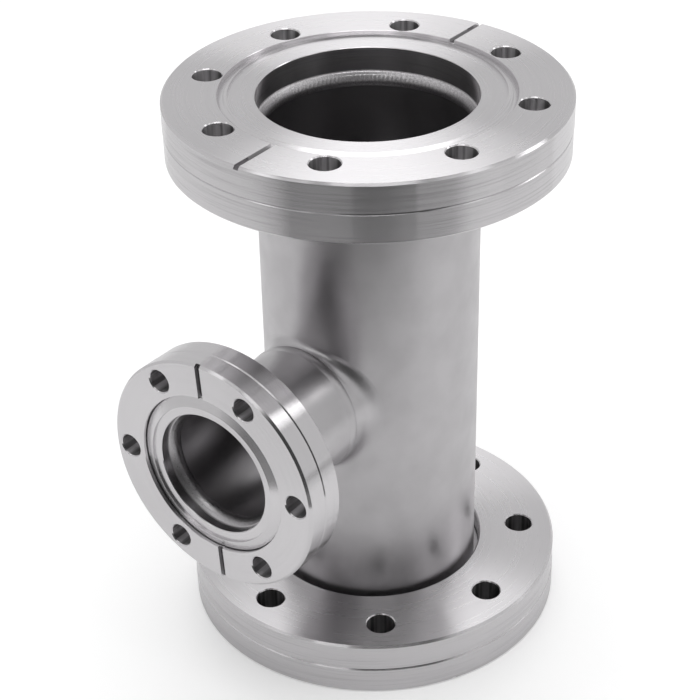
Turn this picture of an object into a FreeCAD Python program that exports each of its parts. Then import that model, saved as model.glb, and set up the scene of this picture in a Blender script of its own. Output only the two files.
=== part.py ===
import FreeCAD, Part
import math
import os
from collections import namedtuple

# Reducing tee for ultra-high vacuum, in millimetres. The run stands along Z on its bottom sealing face,
# whose centre is the origin. The branch leaves the run towards -Y. The top flange is fixed, and the
# bottom and branch flanges have a bolt ring that turns on a welded hub, so that bolt holes can be lined up.

# Lengths of the tee
run_length = 168.8
branch_height = 82.5
branch_reach = 74.3

# Tubes
run_tube_diameter = 63.5
run_tube_wall = 1.65
branch_tube_diameter = 38.1
branch_tube_wall = 1.65

# Outlet of the run tube: a collar drawn out of its wall and cut off flat, with the branch tube welded on.
# The blend into the run tube is small on the line of the run and grows towards the sides.
collar_height = 1.3
collar_blend_along = 1.8
collar_blend_across = 8.0
collar_weld_width = 3.0
collar_weld_crown = 0.2

# The two run flanges, with widths from the tube outwards and depths from the sealing face backwards.
# They add up to a 113.5 mm flange with eight holes on a 92.15 mm circle.
run_knife_land = 6.75
run_gasket_seat = 2.85
run_hole_web = 0.525
run_bolt_hole = 8.4
run_bolt_count = 8
run_rim_wall = 6.475
run_flange_thickness = 17.4
run_knife_depth = 0.26
run_tube_end_depth = 9.0
run_socket_length = 2.4
run_wire_diameter = 1.6

# The branch flange, in the same order: 69.4 mm across, with six holes on a 58.7 mm circle
branch_knife_land = 1.9
branch_gasket_seat = 3.3
branch_hole_web = 1.75
branch_bolt_hole = 6.7
branch_bolt_count = 6
branch_rim_wall = 2.0
branch_flange_thickness = 12.7
branch_knife_depth = 0.12
branch_tube_end_depth = 4.3
branch_socket_length = 3.4
branch_wire_diameter = 1.2

# Where the loose rings stand: degrees about the outward axis of their port
bottom_ring_turn = -61.0
branch_ring_turn = 3.8

# Knife edge, the same on every flange
knife_slope = 20.0
knife_back_draft = 0.08
land_drop = 0.6

# Edges, grooves and fits, the same on every flange
rim_chamfer = 0.65
hole_chamfer = 0.3
recess_chamfer = 0.15
bore_chamfer = 0.2
relief_chamfer = 0.4
rim_groove_depth = 0.4
rim_back_step = 0.12
leak_groove_width = 1.6
leak_groove_depth = 1.1
socket_fit = 0.03
neck_wall = 1.35
disc_overlap = 0.7
seam_gap = 0.3
axial_gap = 0.2
wire_bite = 0.3
wire_seat = 0.02
wire_opening = 10.0

# Weld beads: share of the tube wall that rests on the lip, reach along bore and tube, and play in the tube
lip_share = 0.5
bead_rise = 1.1
bead_tail = 3.5
bead_crown = 0.35
bead_fit = 0.03

# A cutter reaches this far past what it cuts, or this little where it meets a neighbour,
# and a point this near to a curve lies on it
over = 2.0
nick = 0.2
tolerance = 0.01

AXIS = FreeCAD.Vector(0, 0, 1)
ORIGIN = FreeCAD.Vector(0, 0, 0)
SIDEWAYS = FreeCAD.Vector(1, 0, 0)

Flange = namedtuple(
    "Flange",
    "tube wall bore knife knife_depth recess recess_depth land_depth circle hole count rim thickness "
    "tube_end ledge relief shoulder wire wire_circle wire_depth",
)


def flange_sizes(tube, wall, land, seat, web, hole, count, rim_wall, thickness, knife_depth, tube_end,
                 socket, wire):
    """Radii and depths of one flange, worked out from its tube outwards and from its face backwards."""
    knife = tube / 2 + land
    recess = knife + seat
    circle = recess + web + hole / 2
    recess_depth = knife_depth + seat * math.tan(math.radians(knife_slope))
    shoulder = tube_end + disc_overlap
    return Flange(
        tube=tube / 2,
        wall=wall,
        bore=tube / 2 - wall * lip_share,
        knife=knife,
        knife_depth=knife_depth,
        recess=recess,
        recess_depth=recess_depth,
        land_depth=knife_depth + land_drop,
        circle=circle,
        hole=hole / 2,
        count=count,
        rim=circle + hole / 2 + rim_wall,
        thickness=thickness,
        tube_end=tube_end,
        ledge=tube_end + socket,
        relief=tube / 2 + neck_wall + seam_gap,
        shoulder=shoulder,
        wire=wire / 2,
        wire_circle=recess + wire_bite - wire / 2,
        wire_depth=(recess_depth + shoulder) / 2,
    )


run_flange = flange_sizes(
    tube=run_tube_diameter, wall=run_tube_wall, land=run_knife_land, seat=run_gasket_seat,
    web=run_hole_web, hole=run_bolt_hole, count=run_bolt_count, rim_wall=run_rim_wall,
    thickness=run_flange_thickness, knife_depth=run_knife_depth, tube_end=run_tube_end_depth,
    socket=run_socket_length, wire=run_wire_diameter,
)
branch_flange = flange_sizes(
    tube=branch_tube_diameter, wall=branch_tube_wall, land=branch_knife_land, seat=branch_gasket_seat,
    web=branch_hole_web, hole=branch_bolt_hole, count=branch_bolt_count, rim_wall=branch_rim_wall,
    thickness=branch_flange_thickness, knife_depth=branch_knife_depth, tube_end=branch_tube_end_depth,
    socket=branch_socket_length, wire=branch_wire_diameter,
)


def revolved(points):
    """Solid turned about Z from (radius, depth) points, with depth measured from the sealing face."""
    corners = [FreeCAD.Vector(radius, 0, depth) for radius, depth in points]
    outline = Part.makePolygon(corners + corners[:1])
    return Part.Face(outline).revolve(ORIGIN, AXIS, 360)


def rim_outline(flange):
    """Outside of a flange from the face edge to the back edge, with a 90 degree groove in its middle."""
    middle = flange.thickness / 2
    back = flange.rim - rim_back_step
    return [
        (flange.rim - rim_chamfer, 0),
        (flange.rim, rim_chamfer),
        (flange.rim, middle - rim_groove_depth),
        (flange.rim - rim_groove_depth, middle),
        (back, middle + rim_groove_depth - rim_back_step),
        (back, flange.thickness - rim_chamfer),
        (back - rim_chamfer, flange.thickness),
    ]


def knife_outline(flange, outer_radius):
    """Bore edge, inner land, knife edge and its slope out to a radius, from the inside outwards."""
    fall = (outer_radius - flange.knife) * math.tan(math.radians(knife_slope))
    return [
        (flange.bore, flange.land_depth + bore_chamfer),
        (flange.bore + bore_chamfer, flange.land_depth),
        (flange.knife - knife_back_draft, flange.land_depth),
        (flange.knife, flange.knife_depth),
        (outer_radius, flange.knife_depth + fall),
    ]


def socket_outline(flange, outer_radius):
    """Ledge behind the weld socket, the socket for the tube and the lip that its end meets."""
    socket = flange.tube + socket_fit
    return [
        (outer_radius, flange.ledge),
        (socket, flange.ledge),
        (socket, flange.tube_end),
        (flange.bore, flange.tube_end),
    ]


def bolt_cutter(flange):
    """One bolt hole with a chamfer at both faces, ready to be taken out of a flange."""
    flare = flange.hole + hole_chamfer + over
    cutter = revolved([
        (0, -over),
        (flare, -over),
        (flange.hole, hole_chamfer),
        (flange.hole, flange.thickness - hole_chamfer),
        (flare, flange.thickness + over),
        (0, flange.thickness + over),
    ])
    cutter.translate(FreeCAD.Vector(flange.circle, 0, 0))
    return cutter


def leak_cutter(flange):
    """Radial leak-check groove from the recess wall out through the rim, on the +X side."""
    start = flange.recess - nick
    length = flange.rim + over - start
    corner = FreeCAD.Vector(start, -leak_groove_width / 2, -over)
    return Part.makeBox(length, leak_groove_width, over + leak_groove_depth, corner)


def cut_holes_and_grooves(body, flange):
    """Bolt holes on their circle and the two leak-check grooves, midway between holes."""
    spacing = 360 / flange.count
    first_groove = 90
    cutters = []
    for index in range(flange.count):
        cutter = bolt_cutter(flange)
        cutter.rotate(ORIGIN, AXIS, first_groove + spacing / 2 + index * spacing)
        cutters.append(cutter)
    for side in range(2):
        cutter = leak_cutter(flange)
        cutter.rotate(ORIGIN, AXIS, first_groove + side * 180)
        cutters.append(cutter)
    return body.cut(Part.makeCompound(cutters))


def fixed_flange(flange):
    """One-piece flange: knife edge, recess, rim, weld relief behind and the socket for the tube."""
    outline = knife_outline(flange, flange.recess)
    outline += [(flange.recess, recess_chamfer), (flange.recess + recess_chamfer, 0)]
    outline += rim_outline(flange)
    outline += [
        (flange.relief + relief_chamfer, flange.thickness),
        (flange.relief, flange.thickness - relief_chamfer),
    ]
    outline += socket_outline(flange, flange.relief)
    return cut_holes_and_grooves(revolved(outline), flange)


def hub(flange):
    """Weld hub of a turning flange: knife edge on a disc, wire groove in its edge and a short neck."""
    disc = flange.recess - seam_gap
    neck = flange.relief - seam_gap
    groove_floor = flange.wire_circle - flange.wire - seam_gap
    groove_half = flange.wire + seam_gap
    outline = knife_outline(flange, disc)
    outline += [
        (disc, flange.wire_depth - groove_half),
        (groove_floor, flange.wire_depth - groove_half),
        (groove_floor, flange.wire_depth + groove_half),
        (disc, flange.wire_depth + groove_half),
        (disc, flange.shoulder),
        (neck, flange.shoulder),
    ]
    outline += socket_outline(flange, neck)
    return revolved(outline)


def bolt_ring(flange):
    """Turning bolt ring: recess wall and bore round the hub's disc, step behind it, rim and holes."""
    step = flange.shoulder + axial_gap
    groove_floor = flange.wire_circle + flange.wire + wire_seat
    groove_half = flange.wire + wire_seat
    outline = [(flange.recess, recess_chamfer), (flange.recess + recess_chamfer, 0)]
    outline += rim_outline(flange)
    outline += [
        (flange.relief + relief_chamfer, flange.thickness),
        (flange.relief, flange.thickness - relief_chamfer),
        (flange.relief, step),
        (flange.recess, step),
        (flange.recess, flange.wire_depth + groove_half),
        (groove_floor, flange.wire_depth + groove_half),
        (groove_floor, flange.wire_depth - groove_half),
        (flange.recess, flange.wire_depth - groove_half),
    ]
    return cut_holes_and_grooves(revolved(outline), flange)


def retaining_wire(flange):
    """Split ring of round wire, sprung into the ring's groove, which keeps the ring on the hub."""
    centre = FreeCAD.Vector(flange.wire_circle, 0, flange.wire_depth)
    section = Part.Face(Part.Wire(Part.makeCircle(flange.wire, centre, FreeCAD.Vector(0, 1, 0))))
    wire = section.revolve(ORIGIN, AXIS, 360 - wire_opening)
    wire.rotate(ORIGIN, AXIS, wire_opening / 2)
    return wire


def butt_bead(flange):
    """Inner weld bead that joins the end of the tube to the lip of the flange's bore."""
    inner = flange.tube - flange.wall - bead_fit
    top = FreeCAD.Vector(flange.bore, 0, flange.tube_end - bead_rise)
    corner = FreeCAD.Vector(flange.bore, 0, flange.tube_end)
    edge = FreeCAD.Vector(inner, 0, flange.tube_end)
    tail = FreeCAD.Vector(inner, 0, flange.tube_end + bead_tail)
    crown = FreeCAD.Vector(inner - bead_crown, 0, flange.tube_end + bead_crown)
    edges = [
        Part.makeLine(top, corner),
        Part.makeLine(corner, edge),
        Part.makeLine(edge, tail),
        Part.Arc(tail, crown, top).toShape(),
    ]
    return Part.Face(Part.Wire(edges)).revolve(ORIGIN, AXIS, 360)


def at_bottom(shape):
    """Bottom port: the sealing face lies at the origin and looks down."""
    return shape


def at_top(shape):
    """Top port: the sealing face looks up at the far end of the run."""
    shape.rotate(ORIGIN, SIDEWAYS, 180)
    shape.translate(FreeCAD.Vector(0, 0, run_length))
    return shape


def at_branch(shape):
    """Branch port: the sealing face looks along -Y."""
    shape.rotate(ORIGIN, SIDEWAYS, -90)
    shape.translate(FreeCAD.Vector(0, -branch_reach, branch_height))
    return shape


def turned(shape, degrees):
    """Shape turned about the outward axis of its port, before it is put in place."""
    shape.rotate(ORIGIN, AXIS, -degrees)
    return shape


def run_cylinder(radius, overhang=0.0):
    """Round bar along the run, between the ends of the run tube."""
    low = run_flange.tube_end - overhang
    height = run_length - 2 * low
    return Part.makeCylinder(radius, height, FreeCAD.Vector(0, 0, low), AXIS)


def branch_cylinder(radius, start, end=0.0):
    """Round bar along the branch, from one place on its axis to another, or to the axis of the run."""
    corner = FreeCAD.Vector(0, start, branch_height)
    return Part.makeCylinder(radius, end - start, corner, FreeCAD.Vector(0, 1, 0))


def meeting_edge(quarter, run_radius, branch_radius):
    """The one edge of a quarter where the run bar and the branch bar meet."""
    for edge in quarter.Edges:
        point = edge.valueAt((edge.FirstParameter + edge.LastParameter) / 2)
        off_run = abs(math.hypot(point.x, point.y) - run_radius)
        off_branch = abs(math.hypot(point.x, point.z - branch_height) - branch_radius)
        if max(off_run, off_branch) < tolerance:
            return edge


def blended_bars(run_radius, branch_radius, overhang, along, across):
    """Run bar and branch bar in one, with a blend that changes from one radius to the other and back."""
    bars = run_cylinder(run_radius, overhang).fuse(branch_cylinder(branch_radius, -branch_reach))
    quarters = []
    for side in (0, -run_length):
        for level in (0, -run_length):
            corner = FreeCAD.Vector(side, -run_length, branch_height + level)
            quarter = bars.common(Part.makeBox(run_length, 2 * run_length, run_length, corner))
            edge = meeting_edge(quarter, run_radius, branch_radius)
            radii = [along, across]
            if abs(edge.Vertexes[0].Point.x) > tolerance:
                radii.reverse()
            quarters.append(quarter.makeFillet(radii[0], radii[1], [edge]))
    return quarters[0].multiFuse(quarters[1:]).removeSplitter()


def run_tube():
    """Run tube with a collar drawn out of its wall for the branch."""
    wall = run_flange.wall
    outside = blended_bars(run_flange.tube, branch_flange.tube, 0.0, collar_blend_along,
                           collar_blend_across)
    inside = blended_bars(run_flange.tube - wall, branch_flange.tube - branch_flange.wall, over,
                          collar_blend_along + wall, collar_blend_across + wall)
    lip = run_flange.tube + collar_height
    corner = FreeCAD.Vector(-run_length, -lip - run_length, 0)
    beyond = Part.makeBox(2 * run_length, run_length, run_length, corner)
    return outside.cut(inside).cut(beyond)


def branch_tube():
    """Straight branch tube from its socket in the hub to the weld on the collar."""
    start = branch_flange.tube_end - branch_reach
    end = -run_flange.tube - collar_height - collar_weld_width
    bore = branch_cylinder(branch_flange.tube - branch_flange.wall, start - over, end + over)
    return branch_cylinder(branch_flange.tube, start, end).cut(bore)


def collar_weld():
    """Butt weld between the collar and the branch tube, as deep as the wall and slightly proud."""
    outer = branch_flange.tube
    inner = branch_flange.tube - branch_flange.wall
    far = branch_reach - run_flange.tube - collar_height
    near = far - collar_weld_width
    middle = (near + far) / 2
    outer_near = FreeCAD.Vector(outer, 0, near)
    outer_far = FreeCAD.Vector(outer, 0, far)
    inner_near = FreeCAD.Vector(inner, 0, near)
    inner_far = FreeCAD.Vector(inner, 0, far)
    edges = [
        Part.Arc(outer_near, FreeCAD.Vector(outer + collar_weld_crown, 0, middle), outer_far).toShape(),
        Part.makeLine(outer_far, inner_far),
        Part.Arc(inner_far, FreeCAD.Vector(inner - collar_weld_crown, 0, middle), inner_near).toShape(),
        Part.makeLine(inner_near, outer_near),
    ]
    return Part.Face(Part.Wire(edges)).revolve(ORIGIN, AXIS, 360)


pieces = {
    "run_tube": run_tube(),
    "branch_tube": branch_tube(),
    "collar_weld": at_branch(collar_weld()),
    "top_flange": at_top(fixed_flange(run_flange)),
    "top_weld": at_top(butt_bead(run_flange)),
    "bottom_hub": at_bottom(hub(run_flange)),
    "bottom_weld": at_bottom(butt_bead(run_flange)),
    "bottom_ring": at_bottom(turned(bolt_ring(run_flange), bottom_ring_turn)),
    "bottom_retaining_wire": at_bottom(turned(retaining_wire(run_flange), bottom_ring_turn)),
    "branch_hub": at_branch(hub(branch_flange)),
    "branch_weld": at_branch(butt_bead(branch_flange)),
    "branch_ring": at_branch(turned(bolt_ring(branch_flange), branch_ring_turn)),
    "branch_retaining_wire": at_branch(turned(retaining_wire(branch_flange), branch_ring_turn)),
}

os.makedirs("parts", exist_ok=True)
for name, shape in pieces.items():
    shape.exportStep("parts/" + name + ".step")
    print(name, "solids", len(shape.Solids), "volume", round(shape.Volume, 1), "valid", shape.isValid())
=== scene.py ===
import math

import bmesh
import bpy
from mathutils import Matrix, Vector


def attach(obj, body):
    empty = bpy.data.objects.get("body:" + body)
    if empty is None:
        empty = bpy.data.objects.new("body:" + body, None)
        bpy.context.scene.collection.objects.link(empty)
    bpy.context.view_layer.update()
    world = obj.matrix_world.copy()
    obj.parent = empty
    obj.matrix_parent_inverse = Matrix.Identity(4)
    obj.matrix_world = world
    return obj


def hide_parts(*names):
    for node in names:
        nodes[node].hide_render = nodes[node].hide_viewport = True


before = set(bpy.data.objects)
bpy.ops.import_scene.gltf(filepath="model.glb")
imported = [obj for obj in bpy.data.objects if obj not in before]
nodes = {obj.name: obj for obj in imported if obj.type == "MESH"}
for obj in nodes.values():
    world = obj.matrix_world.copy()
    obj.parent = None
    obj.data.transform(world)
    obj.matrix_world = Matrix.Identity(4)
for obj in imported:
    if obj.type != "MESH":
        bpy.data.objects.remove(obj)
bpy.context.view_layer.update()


def hexColour(code):
    # sRGB hex to the linear colour that a shader works in
    parts = [int(code[i:i + 2], 16) / 255 for i in (1, 3, 5)]
    linear = [p / 12.92 if p <= 0.04045 else ((p + 0.055) / 1.055) ** 2.4 for p in parts]
    return (*linear, 1.0)


def addNode(tree, kind, settings=None, links=None):
    # A setting is a property of the node or the value of a socket, and a link goes to a socket. A
    # socket has a name or a number: on Mix, 2 and 3 are its two numbers, 6 and 7 its two colours.
    node = tree.nodes.new(kind)
    for key, value in (settings or {}).items():
        if isinstance(key, str) and hasattr(node, key):
            setattr(node, key, value)
        else:
            node.inputs[key].default_value = value
    for key, socket in (links or {}).items():
        tree.links.new(socket, node.inputs[key])
    return node


def newMaterial(name):
    material = bpy.data.materials.new(name)
    material.use_nodes = True
    material.node_tree.nodes.clear()
    return material, material.node_tree


def shade(tree, surface):
    addNode(tree, "ShaderNodeOutputMaterial", links={"Surface": surface})


# The camera. Its place was solved from the holes and the rims in the photograph.
camera = {
    "azimuth": 37.1858,       # degrees round from -Y towards +X
    "elevation": 32.4215,
    "roll": -1.2221,
    "distance": 0.547068,     # m from the point it looks at
    "aimRight": -0.0063295,   # m, that point, sideways from the run's axis
    "aimHeight": 0.0843603,
    "focalPixels": 1834.655,
    "imagePixels": 700,
    "sensor": 36.0,           # mm
    "clip": (0.05, 20.0),     # m, the nearest and the furthest that it sees
}


def placeCamera(c):
    azimuth = math.radians(c["azimuth"])
    elevation = math.radians(c["elevation"])
    roll = math.radians(c["roll"])
    back = Vector((math.sin(azimuth) * math.cos(elevation),
                   -math.cos(azimuth) * math.cos(elevation), math.sin(elevation)))
    right = Vector((math.cos(azimuth), math.sin(azimuth), 0.0))
    up = back.cross(right)
    place = right * c["aimRight"] + Vector((0, 0, c["aimHeight"])) + back * c["distance"]
    turnedRight = right * math.cos(roll) + up * math.sin(roll)
    turnedUp = up * math.cos(roll) - right * math.sin(roll)
    data = bpy.data.cameras.new("camera")
    data.sensor_width = c["sensor"]
    data.lens = c["focalPixels"] / c["imagePixels"] * c["sensor"]
    data.clip_start, data.clip_end = c["clip"]
    item = bpy.data.objects.new("camera", data)
    bpy.context.scene.collection.objects.link(item)
    axes = Matrix((turnedRight, turnedUp, back)).transposed().to_4x4()
    item.matrix_world = Matrix.Translation(place) @ axes
    bpy.context.scene.camera = item


placeCamera(camera)
bpy.context.scene.view_settings.view_transform = "Standard"
print("camera placed")

# The studio: a white floor, an even pale surround, one large softbox overhead, and round the
# object what its turned rims mirror: the edge of the paper, the dark room and small lights.
studio = {
    "floorColour": "#EEEEEE",
    "floorSize": 8.0,          # m
    "floorSeen": 0.26,         # added where the camera looks, so that the open floor is white
    "floorShine": 0.06,        # and in reflections
    "surround": 0.7,           # brightness of the surround in the light and in reflections
    "surroundSeen": 1.0,       # and as the camera sees it
    "boxSize": (0.55, 1.45),   # m, softbox, across the camera's view and along it
    "boxPlace": (0.035, 0.16, 1.0),  # m, its middle: right, away from the camera, up
    "boxTilt": -12.0,          # degrees, towards the object
    "boxStrength": 2.4,
    "clearance": 0.0005,       # m that the strips and screens stand off the floor
    # Strips that only reflections show, with a glow that changes round them: azimuth from +X in
    # degrees, how far from the axis and how high in m the inner and the outer edge are, and the
    # glow
    "strips": {
        "table": (             # past the edge of the white paper, dark in front
            (165, (0.34, 0), (0.95, 0), 0.74), (205, (0.34, 0), (0.95, 0), 0.73),
            (222, (0.34, 0), (0.95, 0), 0.66), (238, (0.34, 0), (0.95, 0), 0.58),
            (249, (0.34, 0), (0.95, 0), 0.45), (259, (0.30, 0), (0.95, 0), 0.33),
            (266, (0.235, 0), (0.95, 0), 0.25), (285, (0.235, 0), (0.95, 0), 0.25),
            (297, (0.235, 0), (0.95, 0), 0.22), (306, (0.235, 0), (0.95, 0), 0.15),
            (316, (0.235, 0), (0.95, 0), 0.19), (325, (0.235, 0), (0.95, 0), 0.33),
            (340, (0.235, 0), (0.95, 0), 0.38), (350, (0.25, 0), (0.95, 0), 0.43),
            (360, (0.34, 0), (0.95, 0), 0.58), (372, (0.34, 0), (0.95, 0), 0.68),
            (390, (0.34, 0), (0.95, 0), 0.73), (420, (0.34, 0), (0.95, 0), 0.73),
        ),
        "room": (              # the dark room round the camera
            (246, (0.95, 0), (0.95, 0.60), 0.65), (264, (0.95, 0), (0.95, 0.60), 0.06),
            (346, (0.95, 0), (0.95, 0.60), 0.06), (364, (0.95, 0), (0.95, 0.60), 0.65),
        ),
        "ceiling": (           # and above it
            (290, (0.95, 0.60), (0.50, 1.10), 0.5), (298, (0.95, 0.60), (0.50, 1.10), 0.12),
            (347, (0.95, 0.60), (0.50, 1.10), 0.12), (356, (0.95, 0.60), (0.50, 1.10), 0.6),
        ),
    },
    # Screens with an even glow: from and to which azimuth, and their edges and glow as above
    "screenSteps": 16,
    "screens": (
        (18, 44, (0.55, 0.001), (0.90, 0.001), 0.35),    # on the table, right
        (298, 330, (0.38, 0.001), (0.95, 0.001), 0.06),  # and front
        (266, 296, (0.74, 0.98), (0.50, 1.10), 0.12),    # ceiling over the first light
        (268, 292, (0.95, 0.72), (0.95, 0.98), 1.6),     # small lights
        (229, 246, (0.95, 0.90), (0.85, 1.23), 1.6),
        (12, 30, (0.95, 1.08), (0.80, 1.23), 1.6),
        (46, 62, (0.95, 0.65), (0.95, 1.03), 3.0),
    ),
}


def stageCard(name, size, place, material):
    mesh = bmesh.new()
    bmesh.ops.create_grid(mesh, x_segments=1, y_segments=1, size=0.5)
    bmesh.ops.scale(mesh, vec=(size[0], size[1], 1), verts=mesh.verts)
    bmesh.ops.transform(mesh, matrix=place, verts=mesh.verts)
    return stageItem(name, mesh, material)


def stageItem(name, mesh, material):
    data = bpy.data.meshes.new(name)
    mesh.to_mesh(data)
    mesh.free()
    data.materials.append(material)
    item = bpy.data.objects.new(name, data)
    bpy.context.scene.collection.objects.link(item)
    return item


def glowingCloth(name, strength):
    material, tree = newMaterial(name)
    shade(tree, addNode(tree, "ShaderNodeEmission", {"Strength": strength}).outputs[0])
    return material


def onlyReflected(item):
    item.visible_camera = False
    item.visible_diffuse = False
    item.visible_shadow = False


def gradedStrip(keys, clearance):
    # an edge spun in steps of a degree, then each of its places set from the keys on either side
    mesh = bmesh.new()
    glow = mesh.verts.layers.float.new("glow")
    rim = mesh.verts.layers.float.new("rim")
    first = mesh.verts.new((1, 0, 0))
    last = mesh.verts.new((2, 0, 0))
    last[rim] = 1.0
    edge = mesh.edges.new((first, last))
    span = keys[-1][0] - keys[0][0]
    bmesh.ops.spin(mesh, geom=[first, last, edge], cent=(0, 0, 0), axis=(0, 0, 1), dvec=(0, 0, 0),
                   angle=math.radians(span), steps=span, use_merge=False)
    for vertex in mesh.verts:
        turn = round(math.degrees(math.atan2(vertex.co.y, vertex.co.x))) % 360
        angle = keys[0][0] + turn
        start, end = next(pair for pair in zip(keys, keys[1:]) if angle <= pair[1][0])
        t = (angle - start[0]) / (end[0] - start[0])
        side = 2 if vertex[rim] > 0.5 else 1
        radius, height = Vector(start[side]).lerp(Vector(end[side]), t)
        way = math.radians(angle)
        vertex.co = (radius * math.cos(way), radius * math.sin(way), height + clearance)
        vertex[glow] = start[3] + (end[3] - start[3]) * t
    return mesh


def buildStudio(s):
    material, tree = newMaterial("paintedFloor")
    paint = addNode(tree, "ShaderNodeBsdfDiffuse", {"Color": hexColour(s["floorColour"])})
    path = addNode(tree, "ShaderNodeLightPath")
    mirrored = addNode(tree, "ShaderNodeMath", {"operation": "MAXIMUM"},
                       {0: path.outputs["Is Glossy Ray"], 1: path.outputs["Is Transmission Ray"]})
    shine = addNode(tree, "ShaderNodeMath", {"operation": "MULTIPLY", 1: s["floorShine"]},
                    {0: mirrored.outputs[0]})
    lift = addNode(tree, "ShaderNodeMath", {"operation": "MULTIPLY_ADD", 1: s["floorSeen"]},
                   {0: path.outputs["Is Camera Ray"], 2: shine.outputs[0]})
    glow = addNode(tree, "ShaderNodeEmission", links={"Strength": lift.outputs[0]})
    both = addNode(tree, "ShaderNodeAddShader", links={0: paint.outputs[0], 1: glow.outputs[0]})
    shade(tree, both.outputs[0])
    stageCard("floor", (s["floorSize"],) * 2, Matrix.Identity(4), material)

    world = bpy.data.worlds.new("surround")
    world.use_nodes = True
    tree = world.node_tree
    tree.nodes.clear()
    path = addNode(tree, "ShaderNodeLightPath")
    level = addNode(tree, "ShaderNodeMapRange",
                    {"To Min": s["surround"], "To Max": s["surroundSeen"]},
                    {"Value": path.outputs["Is Camera Ray"]})
    sky = addNode(tree, "ShaderNodeBackground", {"Color": (1, 1, 1, 1)},
                  {"Strength": level.outputs["Result"]})
    addNode(tree, "ShaderNodeOutputWorld", links={"Surface": sky.outputs[0]})
    bpy.context.scene.world = world

    side = Matrix.Rotation(math.radians(camera["azimuth"]), 4, "Z")
    place = side @ Matrix.Translation(s["boxPlace"]) \
        @ Matrix.Rotation(math.radians(s["boxTilt"]), 4, "X")
    cloth = glowingCloth("softboxCloth", s["boxStrength"])
    stageCard("softbox", s["boxSize"], place, cloth).visible_camera = False

    for number, (start, end, near, far, level) in enumerate(s["screens"]):
        name = "screen%d" % number
        mesh = bmesh.new()
        first = mesh.verts.new((near[0], 0, near[1] + s["clearance"]))
        last = mesh.verts.new((far[0], 0, far[1] + s["clearance"]))
        edge = mesh.edges.new((first, last))
        bmesh.ops.rotate(mesh, cent=(0, 0, 0), verts=mesh.verts,
                         matrix=Matrix.Rotation(math.radians(start), 3, "Z"))
        bmesh.ops.spin(mesh, geom=[first, last, edge], cent=(0, 0, 0), axis=(0, 0, 1),
                       dvec=(0, 0, 0), angle=math.radians(end - start), steps=s["screenSteps"],
                       use_merge=False)
        onlyReflected(stageItem(name, mesh, glowingCloth(name + "Cloth", level)))

    material, tree = newMaterial("gradedCloth")
    stored = addNode(tree, "ShaderNodeAttribute", {"attribute_name": "glow"})
    shine = addNode(tree, "ShaderNodeEmission", links={"Strength": stored.outputs["Fac"]})
    shade(tree, shine.outputs[0])
    for name, keys in s["strips"].items():
        onlyReflected(stageItem(name, gradedStrip(keys, s["clearance"]), material))


buildStudio(studio)
print("studio built")

# Flanges: 304 stainless steel, turned on a lathe. The tool leaves fine rings round the axis, so
# the shine spreads across them and stays narrow along them. That opens bright fans on the faces,
# which have the coarser cut. Rims, bores, knife edges and chamfers are cut finer, nearly mirrors.
turnedSteel = {
    "colour": "#D7D5D7",
    "faceStreak": "#D3D1D3",   # slightly duller rings on the faces
    "rimStreak": "#C9C7C9",    # and darker ones on the rims
    "faceRoughness": 0.28,
    "fineRoughness": 0.19,
    "anisotropic": 1.0,
    "anisotropicTurn": 0.25,   # the shine spreads across the tool's way
    "ringPitch": 0.45,         # mm; the real feed, about 0.1 mm, is too fine to show
    "streakLength": 30.0,      # mm along the ring
    "streakRadius": 50.0,      # mm from the axis, where the streaks have that length
    "streakFrom": 0.32,        # noise where a ring is all streak,
    "streakTo": (0.5, 0.7),    # and where it is all plain colour, on rims and on faces
    "roughnessSpread": 0.04,   # from ring to ring
    "ringHeight": 0.00015,     # mm
    "faceSlope": (0.96, 0.98),  # cosine to the axis; chamfers are below, faces above
    "wallSlope": 0.3,          # and walls below this
    "paintedHoleShadeDark": "#8C8A8C",    # painted shade on the drilled walls, dark and light scores along the hole
    "paintedHoleShadeLight": "#CECCCE",
    "holeScores": 3.5,         # streaks for each radian round the hole
    "holeRoughness": 0.33,
    "holeCircle": 92.15,       # mm across
    "holeReach": 4.6,          # mm from that circle, a little more than a hole's radius
    "recess": 83.5,            # mm across; the leak-check grooves start outside it
    "grooveFloor": 167.7,      # mm up the axis
    "grooveReach": 0.6,        # mm above and below that
    # painted shade on the floors of the leak-check grooves
    "paintedGrooveShade": "#7A787A",
}
topFinish = dict(turnedSteel, rimStreak="#C4C2C4")   # its rim is more streaked
bottomFinish = dict(turnedSteel, paintedHoleShadeDark="#605F60", paintedHoleShadeLight="#989698")   # less light gets in
branchFinish = dict(turnedSteel, faceRoughness=0.2, rimStreak="#D3D1D3", holeCircle=58.7,
                    recess=49.5, grooveFloor=73.2)
# Each axis goes through its centre, in m. The turn about X, in degrees, stands it up along Z.
runAxis = {"centre": (0, 0, 0), "turn": 0.0}
branchAxis = {"centre": (0, 0, 0.0825), "turn": -90.0}
seamLean = 0.1   # the most that a normal leans at a seam, as a sine; in a bolt hole it leans more


def axisFrame(tree, axis):
    # place and normal seen from an axis that stands up along Z, and the place without its height
    coordinates = addNode(tree, "ShaderNodeTexCoord")
    turn = math.radians(axis["turn"])
    shift = -(Matrix.Rotation(turn, 3, "X") @ Vector(axis["centre"]))
    local = addNode(tree, "ShaderNodeMapping",
                    {"Location": shift, "Rotation": (turn, 0, 0)},
                    {"Vector": coordinates.outputs["Object"]})
    facing = addNode(tree, "ShaderNodeMapping",
                     {"vector_type": "NORMAL", "Rotation": (turn, 0, 0)},
                     {"Vector": coordinates.outputs["Normal"]})
    levelled = addNode(tree, "ShaderNodeVectorMath", {"operation": "MULTIPLY", 1: (1, 1, 0)},
                       {0: local.outputs[0]})
    return turn, local, facing, levelled


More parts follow.
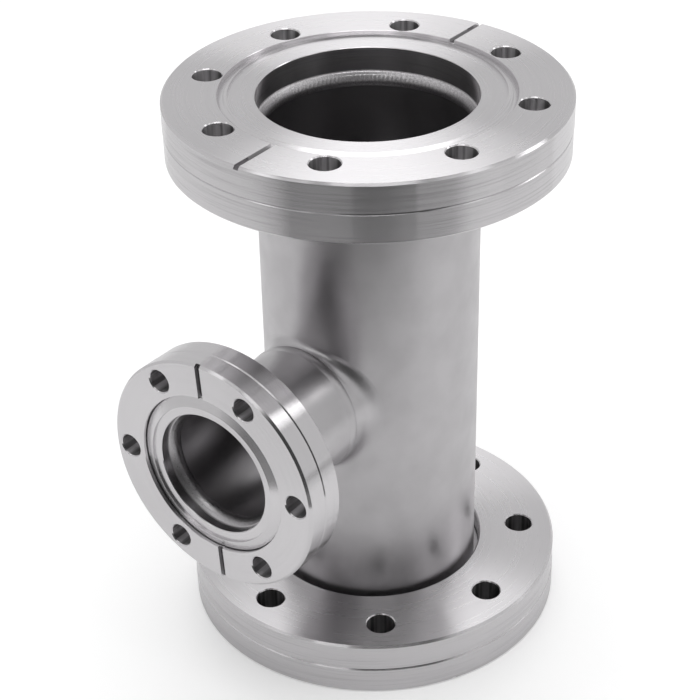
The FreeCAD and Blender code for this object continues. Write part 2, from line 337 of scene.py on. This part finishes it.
def roundNormal(tree, turn, facing, levelled, keep):
    # A solid's mesh is open along its seam, where the normals lean a little and would show a line.
    # A shape turned about its axis has no normal that leans round the axis, so that part is taken
    # out, except where keep is 1.
    around = addNode(tree, "ShaderNodeVectorMath", {"operation": "CROSS_PRODUCT", 0: (0, 0, 1)},
                     {1: levelled.outputs[0]})
    way = addNode(tree, "ShaderNodeVectorMath", {"operation": "NORMALIZE"},
                  {0: around.outputs[0]})
    lean = addNode(tree, "ShaderNodeVectorMath", {"operation": "DOT_PRODUCT"},
                   {0: facing.outputs[0], 1: way.outputs[0]})
    small = addNode(tree, "ShaderNodeMath", {"operation": "COMPARE", 1: 0.0, 2: seamLean},
                    {0: lean.outputs["Value"]})
    free = addNode(tree, "ShaderNodeMath", {"operation": "SUBTRACT", "use_clamp": True},
                   {0: small.outputs[0], 1: keep.outputs[0]})
    amount = addNode(tree, "ShaderNodeMath", {"operation": "MULTIPLY"},
                     {0: lean.outputs["Value"], 1: free.outputs[0]})
    excess = addNode(tree, "ShaderNodeVectorMath", {"operation": "SCALE"},
                     {0: way.outputs[0], "Scale": amount.outputs[0]})
    exact = addNode(tree, "ShaderNodeVectorMath", {"operation": "SUBTRACT"},
                    {0: facing.outputs[0], 1: excess.outputs[0]})
    backTurn = addNode(tree, "ShaderNodeMapping",
                       {"vector_type": "NORMAL", "Rotation": (-turn, 0, 0)},
                       {"Vector": exact.outputs[0]})
    return addNode(tree, "ShaderNodeVectorTransform",
                   {"vector_type": "NORMAL", "convert_from": "OBJECT", "convert_to": "WORLD"},
                   {0: backTurn.outputs[0]})


def turnedMaterial(name, finish, axis):
    material, tree = newMaterial(name)
    turn, local, facing, levelled = axisFrame(tree, axis)
    facingParts = addNode(tree, "ShaderNodeSeparateXYZ", links={0: facing.outputs[0]})
    upright = addNode(tree, "ShaderNodeMath", {"operation": "ABSOLUTE"},
                      {0: facingParts.outputs[2]})
    chamfer, face = finish["faceSlope"]
    flat = addNode(tree, "ShaderNodeMapRange", {"From Min": chamfer, "From Max": face},
                   {"Value": upright.outputs[0]})

    # The tool went square to the axis: on walls also square to their normal, so that a bolt hole
    # has its own rings, and on faces square to the radius.
    aside = addNode(tree, "ShaderNodeVectorMath", {"operation": "ADD"},
                    {0: local.outputs[0], 1: facing.outputs[0]})
    across = addNode(tree, "ShaderNodeVectorMath", {"operation": "CROSS_PRODUCT", 0: (0, 0, 1)},
                     {1: aside.outputs[0]})
    backTurn = addNode(tree, "ShaderNodeMapping",
                       {"vector_type": "VECTOR", "Rotation": (-turn, 0, 0)},
                       {"Vector": across.outputs[0]})
    worldWay = addNode(tree, "ShaderNodeVectorTransform",
                       {"vector_type": "VECTOR", "convert_from": "OBJECT", "convert_to": "WORLD"},
                       {0: backTurn.outputs[0]})
    toolWay = addNode(tree, "ShaderNodeVectorMath", {"operation": "NORMALIZE"},
                      {0: worldWay.outputs[0]})

    # Rings: noise that changes fast with radius and height, and slowly round the axis.
    radius = addNode(tree, "ShaderNodeVectorMath", {"operation": "LENGTH"},
                     {0: levelled.outputs[0]})
    outward = addNode(tree, "ShaderNodeVectorMath", {"operation": "NORMALIZE"},
                      {0: levelled.outputs[0]})
    parts = addNode(tree, "ShaderNodeSeparateXYZ", links={0: local.outputs[0]})
    outwardParts = addNode(tree, "ShaderNodeSeparateXYZ", links={0: outward.outputs[0]})
    perRing = 1000 / finish["ringPitch"]
    bend = finish["streakRadius"] / finish["streakLength"]
    ringX = addNode(tree, "ShaderNodeMath", {"operation": "MULTIPLY", 1: perRing},
                    {0: radius.outputs["Value"]})
    ringZ = addNode(tree, "ShaderNodeMath", {"operation": "MULTIPLY", 1: perRing},
                    {0: parts.outputs[2]})
    bendX = addNode(tree, "ShaderNodeMath", {"operation": "MULTIPLY", 1: bend},
                    {0: outwardParts.outputs[0]})
    bendY = addNode(tree, "ShaderNodeMath", {"operation": "MULTIPLY", 1: bend},
                    {0: outwardParts.outputs[1]})
    place = addNode(tree, "ShaderNodeCombineXYZ",
                    links={0: ringX.outputs[0], 1: ringZ.outputs[0], 2: bendX.outputs[0]})
    rings = addNode(tree, "ShaderNodeTexNoise",
                    {"noise_dimensions": "4D", "Scale": 1.0, "Detail": 2.0, "Roughness": 0.6},
                    {"Vector": place.outputs[0], "W": bendY.outputs[0]})
    streak = addNode(tree, "ShaderNodeMix",
                     {"data_type": "RGBA", 6: hexColour(finish["rimStreak"]),
                      7: hexColour(finish["faceStreak"])},
                     {0: flat.outputs[0]})
    onRim, onFace = finish["streakTo"]
    reach = addNode(tree, "ShaderNodeMapRange", {"To Min": onRim, "To Max": onFace},
                    {"Value": flat.outputs[0]})
    tone = addNode(tree, "ShaderNodeMapRange", {"From Min": finish["streakFrom"]},
                   {"Value": rings.outputs[0], "From Max": reach.outputs[0]})
    colour = addNode(tree, "ShaderNodeMix",
                     {"data_type": "RGBA", 7: hexColour(finish["colour"])},
                     {0: tone.outputs[0], 6: streak.outputs[2]})

    # Painted shade: the drilled walls and the floors of the leak-check grooves are coloured
    # darker.
    # The drilled walls are also rougher, with random scores along each hole.
    nearHoles = addNode(tree, "ShaderNodeMath",
                        {"operation": "COMPARE", 1: finish["holeCircle"] / 2000,
                         2: finish["holeReach"] / 1000},
                        {0: radius.outputs["Value"]})
    steep = addNode(tree, "ShaderNodeMath", {"operation": "LESS_THAN", 1: finish["wallSlope"]},
                    {0: upright.outputs[0]})
    holeWall = addNode(tree, "ShaderNodeMath", {"operation": "MULTIPLY"},
                       {0: nearHoles.outputs[0], 1: steep.outputs[0]})
    outside = addNode(tree, "ShaderNodeMath",
                      {"operation": "GREATER_THAN", 1: finish["recess"] / 2000},
                      {0: radius.outputs["Value"]})
    sunk = addNode(tree, "ShaderNodeMath",
                   {"operation": "COMPARE", 1: finish["grooveFloor"] / 1000,
                    2: finish["grooveReach"] / 1000},
                   {0: parts.outputs[2]})
    sunkRing = addNode(tree, "ShaderNodeMath", {"operation": "MULTIPLY"},
                       {0: outside.outputs[0], 1: sunk.outputs[0]})
    grooveFloor = addNode(tree, "ShaderNodeMath", {"operation": "MULTIPLY"},
                          {0: sunkRing.outputs[0], 1: flat.outputs["Result"]})
    scores = addNode(tree, "ShaderNodeTexNoise", {"Scale": finish["holeScores"], "Detail": 1.0},
                     {"Vector": aside.outputs[0]})
    score = addNode(tree, "ShaderNodeMapRange", {"From Min": 0.4, "From Max": 0.6},
                    {"Value": scores.outputs[0]})
    # painted shade in the bolt holes, broken into random scores along each hole
    shadedHoleScores = addNode(tree, "ShaderNodeMix",
                     {"data_type": "RGBA", 6: hexColour(finish["paintedHoleShadeDark"]),
                      7: hexColour(finish["paintedHoleShadeLight"])}, {0: score.outputs[0]})
    paintedHoleShadeColour = addNode(tree, "ShaderNodeMix", {"data_type": "RGBA"},
                         {0: holeWall.outputs[0], 6: colour.outputs[2], 7: shadedHoleScores.outputs[2]})
    # painted shade on the groove floors
    colour = addNode(tree, "ShaderNodeMix",
                     {"data_type": "RGBA", 7: hexColour(finish["paintedGrooveShade"])},
                     {0: grooveFloor.outputs[0], 6: paintedHoleShadeColour.outputs[2]})
    cut = addNode(tree, "ShaderNodeMapRange",
                  {"To Min": finish["fineRoughness"], "To Max": finish["faceRoughness"]},
                  {"Value": flat.outputs[0]})
    spread = finish["roughnessSpread"]
    change = addNode(tree, "ShaderNodeMapRange",
                     {"From Min": 0.3, "From Max": 0.7, "To Min": 1 + spread,
                      "To Max": 1 - spread},
                     {"Value": rings.outputs[0]})
    drilled = addNode(tree, "ShaderNodeMix", {3: finish["holeRoughness"]},
                      {0: holeWall.outputs[0], 2: cut.outputs[0]})
    rough = addNode(tree, "ShaderNodeMath", {"operation": "MULTIPLY"},
                    {0: drilled.outputs[0], 1: change.outputs[0]})
    even = roundNormal(tree, turn, facing, levelled, holeWall)
    bump = addNode(tree, "ShaderNodeBump",
                   {"Strength": 1.0, "Distance": finish["ringHeight"] / 1000},
                   {"Height": rings.outputs[0], "Normal": even.outputs[0]})
    steel = addNode(tree, "ShaderNodeBsdfPrincipled",
                    {"Metallic": 1.0, "Anisotropic": finish["anisotropic"],
                     "Anisotropic Rotation": finish["anisotropicTurn"]},
                    {"Base Color": colour.outputs[2], "Roughness": rough.outputs[0],
                     "Normal": bump.outputs[0], "Tangent": toolWay.outputs[0]})
    shade(tree, steel.outputs[0])
    return material


def dress(names, material):
    for name in names:
        nodes[name].data.materials.clear()
        nodes[name].data.materials.append(material)


dress(("top_flange",), turnedMaterial("turnedSteelTop", topFinish, runAxis))
dress(("bottom_ring", "bottom_hub"), turnedMaterial("turnedSteelBottom", bottomFinish, runAxis))
dress(("branch_ring", "branch_hub"), turnedMaterial("turnedSteelBranch", branchFinish, branchAxis))
print("flanges finished")

# Tubes: drawn 304 tube, satin polished. A soft even sheen with a faint cloudy texture.
satinTube = {
    "colour": "#C2C0C2",
    "cloud": "#BDBBBD",
    "inside": "#ACAAAC",       # painted shade, darker on the inner wall
    "roughness": 0.34,
    "roughnessSpread": 0.1,    # from cloud to cloud
    "cloudSize": 9.0,          # mm
    "grain": 0.7,              # mm
    "grainHeight": 0.001,      # mm
    "insideBelow": -5.0,       # mm from the axis along the normal, less than zero on inner walls
    "collarFrom": -10.0,       # mm in Y; the run's wall is plain round behind this
}
branchTube = dict(satinTube, inside="#C2C0C2", collarFrom=-1000.0)   # it is plain all round


def tubeMaterial(name, finish, axis):
    material, tree = newMaterial(name)
    turn, local, facing, levelled = axisFrame(tree, axis)
    clouds = addNode(tree, "ShaderNodeTexNoise",
                     {"Scale": 1000 / finish["cloudSize"], "Detail": 3.0},
                     {"Vector": local.outputs[0]})
    grain = addNode(tree, "ShaderNodeTexNoise",
                    {"Scale": 1000 / finish["grain"], "Detail": 2.0},
                    {"Vector": local.outputs[0]})
    outward = addNode(tree, "ShaderNodeVectorMath", {"operation": "DOT_PRODUCT"},
                      {0: levelled.outputs[0], 1: facing.outputs[0]})
    inside = addNode(tree, "ShaderNodeMath",
                     {"operation": "LESS_THAN", 1: finish["insideBelow"] / 1000},
                     {0: outward.outputs["Value"]})
    tone = addNode(tree, "ShaderNodeMapRange", {"From Min": 0.35, "From Max": 0.65},
                   {"Value": clouds.outputs[0]})
    colour = addNode(tree, "ShaderNodeMix",
                     {"data_type": "RGBA", 6: hexColour(finish["cloud"]),
                      7: hexColour(finish["colour"])},
                     {0: tone.outputs[0]})
    # painted shade on the inner wall
    colour = addNode(tree, "ShaderNodeMix",
                     {"data_type": "RGBA", 7: hexColour(finish["inside"])},
                     {0: inside.outputs[0], 6: colour.outputs[2]})
    roughness, spread = finish["roughness"], finish["roughnessSpread"]
    rough = addNode(tree, "ShaderNodeMapRange",
                    {"From Min": 0.3, "From Max": 0.7, "To Min": roughness * (1 + spread),
                     "To Max": roughness * (1 - spread)},
                    {"Value": clouds.outputs[0]})
    parts = addNode(tree, "ShaderNodeSeparateXYZ", links={0: local.outputs[0]})
    collar = addNode(tree, "ShaderNodeMath",
                     {"operation": "LESS_THAN", 1: finish["collarFrom"] / 1000},
                     {0: parts.outputs[1]})
    even = roundNormal(tree, turn, facing, levelled, collar)
    bump = addNode(tree, "ShaderNodeBump",
                   {"Strength": 1.0, "Distance": finish["grainHeight"] / 1000},
                   {"Height": grain.outputs[0], "Normal": even.outputs[0]})
    steel = addNode(tree, "ShaderNodeBsdfPrincipled", {"Metallic": 1.0},
                    {"Base Color": colour.outputs[2], "Roughness": rough.outputs[0],
                     "Normal": bump.outputs[0]})
    shade(tree, steel.outputs[0])
    return material


dress(("run_tube", "bottom_retaining_wire", "branch_retaining_wire"),
      tubeMaterial("satinSteelRun", satinTube, runAxis))
dress(("branch_tube", "collar_weld"), tubeMaterial("satinSteelBranch", branchTube, branchAxis))
print("tubes finished")

# Inner weld beads, as welded: the metal froze in small overlapping ripples, which break the shine
# up into an even grey grain.
weldBead = {
    "rippleLength": 1.25,      # mm along the joint
    "rippleHeight": 0.16,      # mm
    "sweep": 0.9,              # how far each ripple bows along the joint, in ripples
    # unevenness round the joint, as waves: size, how many, and where they start in radians
    "wander": ((0.35, 5, 1), (0.25, 13, 4)),   # of where the ripples are
    "swell": ((0.25, 7, 2),),                  # of how high they are, about meanSwell
    "meanSwell": 0.75,
    "stepsPerRipple": 8,
    "profileSteps": 12,
    "colour": "#DCDADC",
    "dull": "#B3B0B2",
    "roughness": 0.38,
    "roughnessRange": (1.3, 0.8),   # times that, dull and bright
    "grain": 0.35,             # mm
    "grainHeight": 0.012,      # mm
}
# The bead in the branch is smoother, and its colour is darker: painted shade, deep in the branch.
shadedBranchBead = dict(weldBead, rippleLength=2.5, rippleHeight=0.03, colour="#BEBCBE", dull="#B4B2B4",
                  roughness=0.34, grainHeight=0.0005)
# Axis, and in mm from it and up it: lip of the bore, crown and tail of the bead, end of the tube
beads = {
    "top_weld": (runAxis, (30.925, 160.9), (29.47, 158.2), (30.07, 156.3), 159.8),
    "bottom_weld": (runAxis, (30.925, 7.9), (29.47, 10.6), (30.07, 12.5), 9.0),
    "branch_weld": (branchAxis, (18.225, 71.1), (16.77, 68.4), (17.37, 66.5), 70.0),
}


def beadMaterial(name, finish):
    material, tree = newMaterial(name)
    coordinates = addNode(tree, "ShaderNodeTexCoord")
    grain = addNode(tree, "ShaderNodeTexNoise", {"Scale": 1000 / finish["grain"], "Detail": 3.0},
                    {"Vector": coordinates.outputs["Object"]})
    tone = addNode(tree, "ShaderNodeMapRange", {"From Min": 0.35, "From Max": 0.65},
                   {"Value": grain.outputs[0]})
    colour = addNode(tree, "ShaderNodeMix",
                     {"data_type": "RGBA", 6: hexColour(finish["dull"]),
                      7: hexColour(finish["colour"])},
                     {0: tone.outputs[0]})
    low, high = (finish["roughness"] * level for level in finish["roughnessRange"])
    rough = addNode(tree, "ShaderNodeMapRange", {"To Min": low, "To Max": high},
                    {"Value": tone.outputs[0]})
    bump = addNode(tree, "ShaderNodeBump",
                   {"Strength": 1.0, "Distance": finish["grainHeight"] / 1000},
                   {"Height": grain.outputs[0]})
    steel = addNode(tree, "ShaderNodeBsdfPrincipled", {"Metallic": 1.0},
                    {"Base Color": colour.outputs[2], "Roughness": rough.outputs[0],
                     "Normal": bump.outputs[0]})
    shade(tree, steel.outputs[0])
    return material


def waves(terms, around):
    return sum(size * math.sin(number * around + start) for size, number, start in terms)


def beadPiece(node, bead, axis, lip, crown, tail, tubeEnd, material):
    # a smooth arc from the lip over the crown to the tail, closed behind along the tube's wall
    count = bead["profileSteps"]
    pull = [2 * middle - (start + end) / 2 for start, middle, end in zip(lip, crown, tail)]
    outline = []
    for step in range(count + 1):
        t = step / count
        outline.append([(1 - t) ** 2 * start + 2 * t * (1 - t) * middle + t * t * end
                        for start, middle, end in zip(lip, pull, tail)])
    outline += [(tail[0], tubeEnd), (lip[0], tubeEnd)]
    mesh = bmesh.new()
    share = mesh.verts.layers.float.new("share")
    ring = [mesh.verts.new((r / 1000, 0, h / 1000)) for r, h in outline]
    edges = [mesh.edges.new((ring[i], ring[(i + 1) % len(ring)])) for i in range(len(ring))]
    for step in range(count + 1):
        ring[step][share] = step / count
    ripples = round(2 * math.pi * crown[0] / bead["rippleLength"])
    bmesh.ops.spin(mesh, geom=ring + edges, cent=(0, 0, 0), axis=(0, 0, 1), dvec=(0, 0, 0),
                   angle=2 * math.pi, steps=ripples * bead["stepsPerRipple"], use_merge=True)
    for vertex in mesh.verts:
        t = vertex[share]
        if 0 < t < 1:
            around = math.atan2(vertex.co.y, vertex.co.x)
            phase = ripples * around / 2 + math.pi * bead["sweep"] * (2 * t - 1) ** 2 \
                + waves(bead["wander"], around)
            swell = bead["meanSwell"] + waves(bead["swell"], around)
            height = bead["rippleHeight"] * math.sin(math.pi * t) * swell \
                * (abs(math.sin(phase)) - 0.5)
            outward = Vector((vertex.co.x, vertex.co.y, 0)).normalized()
            vertex.co -= outward * height / 1000
    turn = Matrix.Rotation(math.radians(-axis["turn"]), 4, "X")
    bmesh.ops.transform(mesh, matrix=Matrix.Translation(axis["centre"]) @ turn, verts=mesh.verts)
    bmesh.ops.recalc_face_normals(mesh, faces=mesh.faces)
    for face in mesh.faces:
        face.smooth = True
    data = bpy.data.meshes.new(node + "_bead")
    mesh.to_mesh(data)
    mesh.free()
    data.materials.append(material)
    piece = bpy.data.objects.new(node + "_bead", data)
    bpy.context.scene.collection.objects.link(piece)
    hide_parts(node)
    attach(piece, "tee")


beadSteel = beadMaterial("weldedSteelRun", weldBead)
shadedBranchSteel = beadMaterial("weldedSteelBranchShaded", shadedBranchBead)
for node, (axis, lip, crown, tail, tubeEnd) in beads.items():
    bead, steel = (weldBead, beadSteel) if axis is runAxis else (shadedBranchBead, shadedBranchSteel)
    beadPiece(node, bead, axis, lip, crown, tail, tubeEnd, steel)
print("weld beads built")
